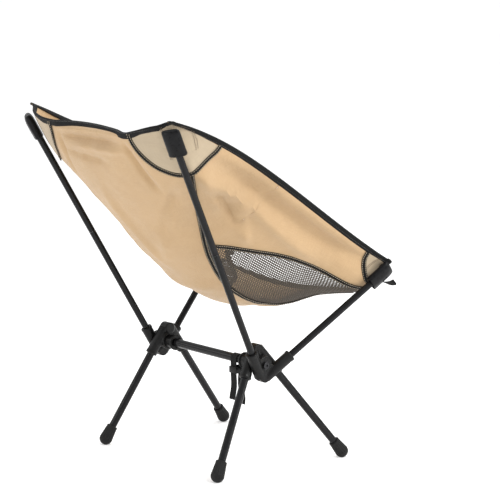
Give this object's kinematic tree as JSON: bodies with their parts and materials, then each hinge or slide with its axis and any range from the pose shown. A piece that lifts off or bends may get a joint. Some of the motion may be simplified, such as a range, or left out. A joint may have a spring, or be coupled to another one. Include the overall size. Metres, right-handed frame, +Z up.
{
  "type": "backpacking chair",
  "caption": "Low sling chair for camping: fabric bucket seat hung on four poles that plug into two hubs on a crossbar, on four splayed legs with rubber feet.",
  "frame": {"origin": "on the ground under the middle of the chair's box", "axes": "+Z up, +Y to the back of the chair, +X to the sitter's left"},
  "size_m": [0.5018, 0.5114, 0.6552],
  "materials": {
    "frame_tube": "black anodised aluminium tube, satin",
    "ferrule": "bare drawn aluminium sleeve",
    "hub_plastic": "moulded black nylon, fine satin grain",
    "end_plastic": "moulded black plastic",
    "foot_rubber": "black rubber, fluted",
    "screw_steel": "black-oxide steel",
    "shock_cord": "braided elastic cord",
    "sling_fabric": "sand-coloured polyester, fine plain weave",
    "netting": "black polyester netting",
    "webbing": "black woven tape and webbing",
    "patch_canvas": "pale grey-beige reinforcing canvas",
    "pocket_fabric": "black coated pocket fabric with a slight gloss"
  },
  "bodies": {
    "frame": {"crossbar": "frame_tube", "hub_screws": "screw_steel", "hub_washers": "screw_steel", "hub_collar_right": "hub_plastic", "bar_plug_right": "end_plastic", "leg_yoke_right": "hub_plastic", "pole_yoke_right": "hub_plastic", "leg_cord_right": "shock_cord", "pole_cord_right": "shock_cord", "hub_collar_left": "hub_plastic", "bar_plug_left": "end_plastic", "leg_yoke_left": "hub_plastic", "pole_yoke_left": "hub_plastic", "leg_cord_left": "shock_cord", "pole_cord_left": "shock_cord"},
    "seat": {"middle_panel": "sling_fabric", "wing_right": "sling_fabric", "wing_left": "sling_fabric", "mesh_right": "netting", "mesh_left": "netting", "edge_binding_back": "webbing", "edge_binding_front": "webbing", "edge_binding_left": "webbing", "edge_binding_right": "webbing"},
    "back_leg_right": {"back_leg_right_tube": "frame_tube", "back_leg_right_end_plug": "end_plastic", "back_foot_right": "foot_rubber"},
    "back_pole_lower_right": {"back_pole_lower_right": "frame_tube", "back_pole_ferrule_right": "ferrule"},
    "back_pole_upper_right": {"back_pole_upper_right": "frame_tube", "back_pole_tip_right": "end_plastic"},
    "back_corner_right": {"back_patch_right": "patch_canvas", "back_boot_right": "pocket_fabric"},
    "front_leg_right": {"front_leg_right_tube": "frame_tube", "front_leg_right_end_plug": "end_plastic", "front_foot_right": "foot_rubber"},
    "front_pole_right": {"front_pole_right": "frame_tube", "front_pole_tip_right": "end_plastic"},
    "front_corner_right": {"front_patch_right": "patch_canvas", "front_boot_right": "pocket_fabric", "pull_tab_right": "webbing"},
    "back_leg_left": {"back_leg_left_tube": "frame_tube", "back_leg_left_end_plug": "end_plastic", "back_foot_left": "foot_rubber"},
    "back_pole_lower_left": {"back_pole_lower_left": "frame_tube", "back_pole_ferrule_left": "ferrule"},
    "back_pole_upper_left": {"back_pole_upper_left": "frame_tube", "back_pole_tip_left": "end_plastic"},
    "back_corner_left": {"back_patch_left": "patch_canvas", "back_boot_left": "pocket_fabric"},
    "front_leg_left": {"front_leg_left_tube": "frame_tube", "front_leg_left_end_plug": "end_plastic", "front_foot_left": "foot_rubber"},
    "front_pole_left": {"front_pole_left": "frame_tube", "front_pole_tip_left": "end_plastic"},
    "front_corner_left": {"front_patch_left": "patch_canvas", "front_boot_left": "pocket_fabric", "pull_tab_left": "webbing"},
    "strap": {"cinch_strap": "webbing", "strap_keeper": "end_plastic"}
  },
  "joints": [
    {"name": "seat_lift", "type": "slide", "parent": "frame", "child": "seat", "axis": [0, 0, 1], "range_m": [0, 0.062]},
    {"name": "back_leg_right_pull_out", "type": "slide", "parent": "frame", "child": "back_leg_right", "axis": [-0.1611, 0.4693, -0.8682], "range_m": [0, 0.026]},
    {"name": "back_pole_lower_right_pull_out", "type": "slide", "parent": "frame", "child": "back_pole_lower_right", "axis": [-0.1252, 0.4705, 0.8735], "range_m": [0, 0.026]},
    {"name": "back_pole_upper_right_pull_off", "type": "slide", "parent": "back_pole_lower_right", "child": "back_pole_upper_right", "axis": [-0.1252, 0.4705, 0.8735], "range_m": [0, 0.02]},
    {"name": "back_corner_right_slip_off", "type": "slide", "parent": "seat", "child": "back_corner_right", "axis": [-0.2392, 0.8989, 0.3671], "range_m": [0, 0.04763], "deforming": ["back_patch_right"]},
    {"name": "front_leg_right_pull_out", "type": "slide", "parent": "frame", "child": "front_leg_right", "axis": [-0.1607, -0.6163, -0.771], "range_m": [0, 0.026]},
    {"name": "front_pole_right_pull_out", "type": "slide", "parent": "frame", "child": "front_pole_right", "axis": [-0.2806, -0.7297, 0.6235], "range_m": [0, 0.026]},
    {"name": "front_corner_right_slip_off", "type": "slide", "parent": "seat", "child": "front_corner_right", "axis": [-0.3419, -0.8891, -0.3043], "range_m": [0, 0.05827]},
    {"name": "back_leg_left_pull_out", "type": "slide", "parent": "frame", "child": "back_leg_left", "axis": [0.1611, 0.4693, -0.8682], "range_m": [0, 0.026]},
    {"name": "back_pole_lower_left_pull_out", "type": "slide", "parent": "frame", "child": "back_pole_lower_left", "axis": [0.1252, 0.4705, 0.8735], "range_m": [0, 0.026]},
    {"name": "back_pole_upper_left_pull_off", "type": "slide", "parent": "back_pole_lower_left", "child": "back_pole_upper_left", "axis": [0.1252, 0.4705, 0.8735], "range_m": [0, 0.02]},
    {"name": "back_corner_left_slip_off", "type": "slide", "parent": "seat", "child": "back_corner_left", "axis": [0.2392, 0.8989, 0.3671], "range_m": [0, 0.04763], "deforming": ["back_patch_left"]},
    {"name": "front_leg_left_pull_out", "type": "slide", "parent": "frame", "child": "front_leg_left", "axis": [0.1607, -0.6163, -0.771], "range_m": [0, 0.026]},
    {"name": "front_pole_left_pull_out", "type": "slide", "parent": "frame", "child": "front_pole_left", "axis": [0.2806, -0.7297, 0.6235], "range_m": [0, 0.026]},
    {"name": "front_corner_left_slip_off", "type": "slide", "parent": "seat", "child": "front_corner_left", "axis": [0.3419, -0.8891, -0.3043], "range_m": [0, 0.05827]},
    {"name": "strap_swing", "type": "hinge", "parent": "frame", "child": "strap", "pos_m": [-0.084, -0.00664, 0.1963], "axis": [1, 0, 0], "range_deg": [-60, 60]}
  ],
  "couplings": [
    {"joint": "back_pole_lower_right_pull_out", "follows": "seat_lift", "ratio": 0.41935},
    {"joint": "back_pole_upper_right_pull_off", "follows": "seat_lift", "ratio": 0.32258},
    {"joint": "back_corner_right_slip_off", "follows": "seat_lift", "ratio": 0.76823},
    {"joint": "front_pole_right_pull_out", "follows": "seat_lift", "ratio": 0.41935},
    {"joint": "front_corner_right_slip_off", "follows": "seat_lift", "ratio": 0.93983},
    {"joint": "back_pole_lower_left_pull_out", "follows": "seat_lift", "ratio": 0.41935},
    {"joint": "back_pole_upper_left_pull_off", "follows": "seat_lift", "ratio": 0.32258},
    {"joint": "back_corner_left_slip_off", "follows": "seat_lift", "ratio": 0.76823},
    {"joint": "front_pole_left_pull_out", "follows": "seat_lift", "ratio": 0.41935},
    {"joint": "front_corner_left_slip_off", "follows": "seat_lift", "ratio": 0.93983}
  ]
}
